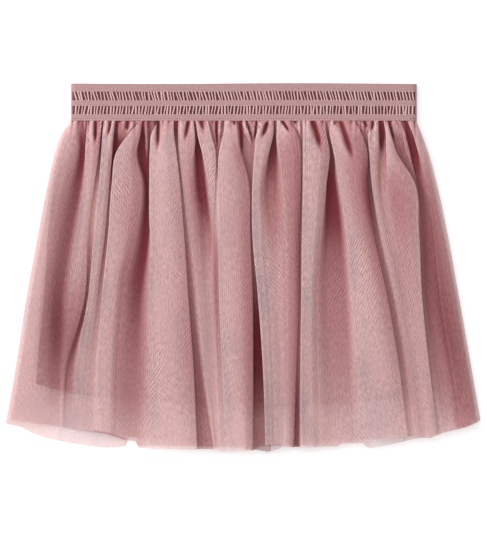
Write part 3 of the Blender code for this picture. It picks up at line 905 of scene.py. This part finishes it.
Elastic = namedtuple("Elastic", "name light dark cords")
ELASTICS = (
    Elastic("elastic_rail", (0.52, 0.325, 0.325), (0.36, 0.20, 0.205), 0.7),
    # Painted shade: a dark copy of the elastic for the ladder slots and the groove at the
    # stitches
    Elastic("elastic_recess_painted_shade", (0.19, 0.05, 0.06), (0.12, 0.03, 0.038), 0.5),
    # Painted highlight: the rungs and stitches are lighter copies of the elastic, as they catch
    # the light
    Elastic("elastic_rung_painted_highlight", (0.72, 0.49, 0.49), (0.54, 0.32, 0.33), 0.4),
    Elastic("stitch_thread_painted_highlight", (0.72, 0.50, 0.49), (0.55, 0.34, 0.34), 0.3),
)


# ---- Cloth pieces -------------------------------------------------------------------

def finish_piece(piece, material, slot, *nodes):
    """Give a piece its material and its body, and hide the CAD node it stands for. slot is not
    used.
    """
    piece.data.materials.clear()
    piece.data.materials.append(material)
    dress(piece, slot, *nodes)


def dress(piece, slot, *nodes):
    """Attach a piece to the body it rides on and hide the CAD node it stands for. slot is not
    used.
    """
    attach(piece, "root")
    if nodes:
        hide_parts(*nodes)


# How much painted shade the folds' undersides get and how much thinner they are, and how
# much closer the net is on a fold as high as TALL, in mm
UNDERSIDE_SHADE = 0.6
UNDERSIDE_THIN = 0.35
TALL = 5.0
TALL_COVER = 0.16


def add_tulle(name, points, shade, cover, finish, face_down=False):
    """A tulle piece through a grid of points; finish is its material, slot and CAD node."""
    piece, width = grid_piece(name, points, {"shade": shade, "cover": cover}, face_down)
    finish_piece(piece, *finish)


def add_folded_tulle(name, layer, *finish):
    """A front tulle layer with its folds."""
    points, shade, lift = folded_panel(layer)
    under = smooth((0.35 - facing_up(points)) / 0.6)
    # Painted shade on the cloth that folds under
    shade = shade + UNDERSIDE_SHADE * under * (1 - shade)
    cover = cover_of(points, layer)
    tall = np.clip(lift / TALL, 0, 1)
    cover = np.clip(cover + TALL_COVER * tall * (1 - cover), 0, 1) * (1 - UNDERSIDE_THIN * under)
    add_tulle(name, points, shade, cover, finish)


# A back layer: folds is the number of its creases, lift their height, and puff the height
# of the small pleats under the band. The last three are as in a front layer.
Back = namedtuple(
    "Back", "height inset hem folds lift puff seed columns rows single gathered thin"
)
OUTER_BACK_LAYER = Back(
    OUTER_BACK, 0.0, OUTER_BACK_HEM, 15, 1.1, 0.8, 31, 300, 80, 0.50, 0.66, 0.0
)
SECOND_BACK_LAYER = Back(
    SECOND_BACK, 3.0, SECOND_BACK_HEM, 13, 0.7, 0.0, 47, 200, 60, 0.46, 0.66, 0.0
)
CREASE_END = 165
BACK_RISE = 1.2


def back_panel(back):
    """Points and shade of a back tulle layer with low, uneven creases.

    Past CREASE_END, a distance from the seam in mm, they get lower and lose their painted shade.
    BACK_RISE is how much higher the cloth lies at the band, in mm.
    """
    run = row_runs(back.rows, 1.2) * LONGEST
    across, down, x, left, right = flat_panel(side_lines, run, back.columns, back.hem)
    x = pull_in(x, left, right, back.inset * smooth(down / 14))
    place = across * back.folds + 0.6 * ripple(across * 60, down * 0.05, back.seed, 24.0)
    saw = place - np.floor(place)
    depth = 0.65 + 0.35 * np.sin(2.4 * np.floor(place) + back.seed)
    fold = smooth(saw / 0.82) * (1 - smooth((saw - 0.86) / 0.14)) * depth
    fold = fold * (1 - 0.45 * smooth((down - CREASE_END) / 40))
    ridge, fade = gathers(x, down)
    edge = smooth(np.minimum(across, 1 - across) / 0.03)
    press = smooth(down / 30)
    z = back.height + back.lift * fold * edge * (0.35 + 0.65 * press)
    z = z + back.puff * (1 - ridge) * fade + BACK_RISE * (1 - smooth((down + TUCK) / 7))
    # Painted shade along each crease and on one side of it, and in the pleat valleys under the
    # band
    crease = np.exp(-((saw - 0.93) / 0.08) ** 2) + 0.35 * smooth((saw - 0.4) / 0.5)
    shade = 0.5 * crease * depth * edge * (1 - smooth((down - CREASE_END) / 30))
    shade = np.clip(shade + 0.75 * (1 - ridge) ** 1.5 * fade * (1 - shade), 0, 1)
    return laid_points(x, down, z), shade


def add_back_tulle(name, back, *finish):
    """A back tulle layer, whose visible face is underneath."""
    points, shade = back_panel(back)
    add_tulle(name, points, shade, cover_of(points, back), finish, face_down=True)


# The lining's thickness, and in mm its waves and how much higher it lies at the seam
JERSEY_WALL = 0.5 * MM
JERSEY_WAVE = 0.22
JERSEY_RISE = 0.35


def lining_sides(run):
    """The lining's left and right sides at distances down from the seam, in mm."""
    return along(LINING_LEFT, LINING_RUNS, run), along(LINING_RIGHT, LINING_RUNS, run)


def add_lining(name, height, seed, material, node):
    """One panel of the lining: a thin knitted shell with slow waves."""
    run = np.linspace(0.0, LINING_RUNS[-1], 60)
    _, down, x, _, _ = flat_panel(lining_sides, run, 150, LINING_HEM)
    wave = ripple(x, down * 0.3, seed, 40.0)
    away = np.clip(down, 0, None)
    z = height + JERSEY_WAVE * wave * smooth(away / 12)
    z = z + JERSEY_RISE * (1 - smooth(away / 10))
    piece, width = grid_piece(name, laid_points(x, down, z), {})
    wall = piece.modifiers.new("wall", "SOLIDIFY")
    wall.thickness = JERSEY_WALL
    wall.offset = 0
    apply_modifiers(piece)
    finish_piece(piece, material, "jersey", node)


# ---- Modelling helpers --------------------------------------------------------------

def select_only(item):
    """Deselect everything, then select one object and make it active."""
    bpy.ops.object.select_all(action="DESELECT")
    item.select_set(True)
    bpy.context.view_layer.objects.active = item


def apply_modifiers(item):
    """Apply a piece's modifiers in order."""
    select_only(item)
    for modifier in list(item.modifiers):
        bpy.ops.object.modifier_apply(modifier=modifier.name)


def pick(item, kind, test):
    """In edit mode, select the faces or edges whose middle and normal pass a test."""
    bpy.ops.mesh.select_mode(type=kind)
    bpy.ops.mesh.select_all(action="DESELECT")
    cage = bmesh.from_edit_mesh(item.data)
    if kind == "FACE":
        for face in cage.faces:
            face.select_set(test(face.calc_center_median(), face.normal))
    else:
        for edge in cage.edges:
            middle = (edge.verts[0].co + edge.verts[1].co) / 2
            edge.select_set(test(middle, edge.verts[1].co - edge.verts[0].co))
    cage.select_flush_mode()
    bmesh.update_edit_mesh(item.data)


def cut(place, way):
    """In edit mode, cut everything through at a place, square to a way."""
    bpy.ops.mesh.select_all(action="SELECT")
    bpy.ops.mesh.bisect(plane_co=place, plane_no=way)


def join_copies(name, model, places):
    """Copies of a model, each moved and leaned, joined into one piece.

    A place is x, y, z, lean and width: lean is the share of its length along Y that its
    top moves to -X, and width scales it across.
    """
    copies = []
    for x, y, z, lean, width in places:
        copy = new_object(model.name, model.data.copy())
        for point in copy.data.vertices:
            point.co.x = width * point.co.x - lean * point.co.y
            point.co += Vector((x, y, z))
        copies.append(copy)
    bpy.data.objects.remove(model)
    bpy.ops.object.select_all(action="DESELECT")
    for copy in copies:
        copy.select_set(True)
    bpy.context.view_layer.objects.active = copies[0]
    bpy.ops.object.join()
    piece = bpy.context.view_layer.objects.active
    piece.name = name
    piece.data.name = name
    return piece


# ---- Elastic band -------------------------------------------------------------------

# The two ladder rows, with the lean of their rungs. Here and below, distances along Y are
# from the band's top, in mm. RAIL_CUTS and BAND_STEPS give the band its rows and columns.
Ladder = namedtuple("Ladder", "name top bottom lean")
LADDERS = (Ladder("upper", 5.5, 11.3, 0.22), Ladder("lower", 15.2, 20.8, -0.13))
RUNGS = 107
RUNG_WIDTH = 0.95 * MM
RAIL_CUTS = (1.0, 2.6, 4.2, 12.6, 13.9, 22.2)
BAND_STEPS = 24

# The dark line at the stitches, a flat strip given the recess's painted shade, the rows
# of stitches, and the stitches to a row
GROOVE = (23.75, 24.05)
STITCH_ROWS = (23.8, 24.7)
STITCHES = 118


def within(y, low, high):
    """Whether a place along Y lies between two distances below the band's top, in mm."""
    return low < (WAIST_Y - y) / MM < high


def in_ladder(y):
    """Whether a place along Y is within one of the ladder rows."""
    return any(within(y, ladder.top, ladder.bottom) for ladder in LADDERS)


def add_band(rail, recess_shade):
    """The flattened loop: a block opened at waist and seam, its ladder rows sunk in."""
    middle = (WAIST_Y + SEAM_Y) / 2
    height = WAIST_Y - SEAM_Y
    bpy.ops.object.select_all(action="DESELECT")
    bpy.ops.mesh.primitive_cube_add(size=1, location=(0, middle, BAND_THICK / 2))
    band = bpy.context.object
    band.name = "elastic_band"
    band.scale = (WAIST_WIDTH, height, BAND_THICK)
    bpy.ops.object.transform_apply(location=True, rotation=True, scale=True)
    bpy.ops.object.mode_set(mode="EDIT")
    pick(band, "FACE", lambda place, normal: abs(normal.y) > 0.5)
    bpy.ops.mesh.delete(type="ONLY_FACE")
    pick(band, "EDGE", lambda place, way: abs(way.y) > 0.5 * height)
    bpy.ops.mesh.bevel(offset=BAND_THICK * 0.49, segments=8, profile=0.5, affect="EDGES")
    for ladder in LADDERS:
        for below in (ladder.top, ladder.bottom):
            cut((0, WAIST_Y - below * MM, 0), (0, 1, 0))
    # The ladder rows and the groove at the stitches get the second, dark material: painted shade
    band.data.materials.append(rail)
    band.data.materials.append(recess_shade)
    pick(band, "FACE", lambda place, normal: in_ladder(place.y) and abs(normal.z) > 0.5)
    band.active_material_index = 1
    bpy.ops.object.material_slot_assign()
    bpy.ops.mesh.extrude_region_shrink_fatten(TRANSFORM_OT_shrink_fatten={"value": -RECESS})
    for below in (*RAIL_CUTS, *GROOVE):
        cut((0, WAIST_Y - below * MM, 0), (0, 1, 0))
    for step in range(1, BAND_STEPS):
        cut((WAIST_WIDTH * (step / BAND_STEPS - 0.5), 0, 0), (1, 0, 0))
    pick(band, "FACE", lambda place, normal: within(place.y, *GROOVE) and abs(normal.z) > 0.5)
    bpy.ops.object.material_slot_assign()
    bpy.ops.mesh.select_all(action="SELECT")
    bpy.ops.mesh.normals_make_consistent(inside=False)
    bpy.ops.object.mode_set(mode="OBJECT")
    wall = band.modifiers.new("wall", "SOLIDIFY")
    wall.thickness = BAND_WALL
    wall.offset = -1
    wall.use_even_offset = True
    edges = band.modifiers.new("edges", "BEVEL")
    edges.width = 0.35 * MM
    edges.segments = 2
    edges.limit_method = "ANGLE"
    apply_modifiers(band)
    bow_band(band)
    select_only(band)
    bpy.ops.object.shade_smooth_by_angle(angle=radians(40))
    dress(band, "elastic", "waistband")


def bow_band(band):
    """Let the band's top edge and upper face wander a little, as cloth does."""
    for point in band.data.vertices:
        x, y = point.co.x / MM, (point.co.y - SEAM_Y) / MM
        point.co.y += 0.25 * MM * sin(x / 31.0 + 0.4) * (y / 25.0)
        point.co.z += 0.18 * MM * sin(x / 17.0) * (1 if point.co.z > BAND_THICK / 2 else 0)


def add_rungs(material):
    """Slanting rungs across the ladder rows, front and back."""
    chance = random.Random(5)
    bpy.ops.object.select_all(action="DESELECT")
    bpy.ops.mesh.primitive_cube_add(size=1)
    rung = bpy.context.object
    length = (LADDERS[0].bottom - LADDERS[0].top + 0.5) * MM
    rung.scale = (RUNG_WIDTH, length, RECESS * 1.15)
    bpy.ops.object.transform_apply(location=False, rotation=False, scale=True)
    bpy.ops.object.mode_set(mode="EDIT")
    pick(rung, "EDGE", lambda place, way: abs(way.y) > 0.5 * length)
    bpy.ops.mesh.bevel(offset=RUNG_WIDTH * 0.3, segments=2, affect="EDGES")
    cut((0, 0, 0), (0, 1, 0))
    bpy.ops.object.mode_set(mode="OBJECT")
    places = []
    span = WAIST_WIDTH - BAND_THICK * 0.8
    for ladder in LADDERS:
        y = WAIST_Y - (ladder.top + ladder.bottom) / 2 * MM
        for side in (1, -1):
            for i in range(RUNGS):
                x = span * (i / (RUNGS - 1) - 0.5) + chance.uniform(-0.32, 0.32) * MM
                lean = ladder.lean + chance.uniform(-0.12, 0.12)
                if ladder.name == "lower":
                    lean += 0.12 * smooth(i / RUNGS * 1.6 - 0.3)
                z = BAND_THICK - RECESS * 0.5 if side > 0 else RECESS * 0.6
                places.append((x, y, z, lean, chance.uniform(0.75, 1.3)))
    rungs = join_copies("band_rungs", rung, places)
    select_only(rungs)
    bpy.ops.object.shade_smooth_by_angle(angle=radians(50))
    finish_piece(rungs, material, "elastic")


def add_stitches(material):
    """Two rows of stitches near the band's lower edge, front and back."""
    chance = random.Random(9)
    bpy.ops.object.select_all(action="DESELECT")
    bpy.ops.mesh.primitive_uv_sphere_add(segments=8, ring_count=6, radius=0.5)
    stitch = bpy.context.object
    stitch.scale = (1.25 * MM, 0.55 * MM, 0.5 * MM)
    bpy.ops.object.transform_apply(location=False, rotation=False, scale=True)
    bpy.ops.object.shade_smooth()
    places = []
    span = WAIST_WIDTH - BAND_THICK
    for number, below in enumerate(STITCH_ROWS):
        for side in (1, -1):
            for i in range(STITCHES):
                x = span * ((i + 0.5 * number) / STITCHES - 0.5)
                y = WAIST_Y - below * MM + chance.uniform(-0.1, 0.1) * MM
                z = BAND_THICK if side > 0 else 0.27 * MM
                places.append((x, y, z, chance.uniform(-0.1, 0.1), 1.0))
    finish_piece(join_copies("band_stitches", stitch, places), material, "elastic")


# ---- Camera, floor and light --------------------------------------------------------

CAMERA_HEIGHT = 2.0
VIEW_HEIGHT = 0.3645


def add_camera():
    """Straight above the skirt, with its waist at the top of the view."""
    data = bpy.data.cameras.new("camera")
    data.sensor_width = 36
    data.lens = data.sensor_width * CAMERA_HEIGHT / VIEW_HEIGHT
    camera = new_object("camera", data)
    camera.location = (-0.0003, 0, CAMERA_HEIGHT)
    bpy.context.scene.camera = camera


def add_floor():
    """A plain pale floor that stays clean and bright."""
    bpy.ops.object.select_all(action="DESELECT")
    bpy.ops.mesh.primitive_plane_add(size=6, location=(0, 0, -0.05 * MM))
    floor = bpy.context.object
    floor.name = "floor"
    material, _, shader = new_material("floor", 0.9)
    shader.inputs["Base Color"].default_value = (0.92, 0.92, 0.92, 1)
    shader.inputs["Emission Color"].default_value = (1, 1, 1, 1)
    shader.inputs["Emission Strength"].default_value = 0.30
    floor.data.materials.append(material)


Lamp = namedtuple("Lamp", "name place size energy color")
LAMPS = (
    Lamp("key", (-1.4, 0.75, 1.3), 0.9, 24.0, (1.0, 0.99, 0.98)),
    Lamp("top", (-0.2, 0.3, 2.2), 1.8, 20.0, (1.0, 1.0, 1.0)),
)


def add_lights():
    """Soft studio light, stronger from the upper left, and an even surround."""
    for lamp in LAMPS:
        data = bpy.data.lights.new(lamp.name, "AREA")
        data.size = lamp.size
        data.energy = lamp.energy
        data.color = lamp.color
        light = new_object(lamp.name, data)
        light.location = lamp.place
        light.rotation_mode = "QUATERNION"
        light.rotation_quaternion = (-Vector(lamp.place)).to_track_quat("-Z", "Y")
    world = bpy.data.worlds.new("surround")
    world.use_nodes = True
    world.node_tree.nodes["Background"].inputs["Color"].default_value = (1, 1, 1, 1)
    world.node_tree.nodes["Background"].inputs["Strength"].default_value = 0.45
    bpy.context.scene.world = world


# ---- The skirt ----------------------------------------------------------------------

def main():
    """Set the stage, make the materials and add every piece."""
    add_camera()
    add_floor()
    add_lights()
    bpy.context.scene.view_settings.view_transform = "Standard"
    bpy.context.scene.cycles.transparent_max_bounces = 40

    net = add_net_group()
    outer = add_tulle_material(OUTER_TULLE, net)
    second = add_tulle_material(SECOND_TULLE, net)
    jersey = add_jersey_material()
    weave = add_elastic_group()
    rail, recess_shade, rung, thread = [add_elastic_material(look, weave) for look in ELASTICS]

    add_folded_tulle("outer_tulle_front", OUTER_FRONT, outer, "tulle", "tulle_top_front")
    add_folded_tulle(
        "second_tulle_front", SECOND_FRONT, second, "under_tulle", "tulle_under_front"
    )
    add_lining("jersey_front", LINING_FRONT, 11, jersey, "lining_front")
    add_lining("jersey_back", LINING_BACK, 17, jersey, "lining_back")
    add_back_tulle(
        "second_tulle_back", SECOND_BACK_LAYER, second, "under_tulle", "tulle_under_back"
    )
    add_back_tulle("outer_tulle_back", OUTER_BACK_LAYER, outer, "tulle", "tulle_top_back")

    add_band(rail, recess_shade)
    add_rungs(rung)
    add_stitches(thread)


main()
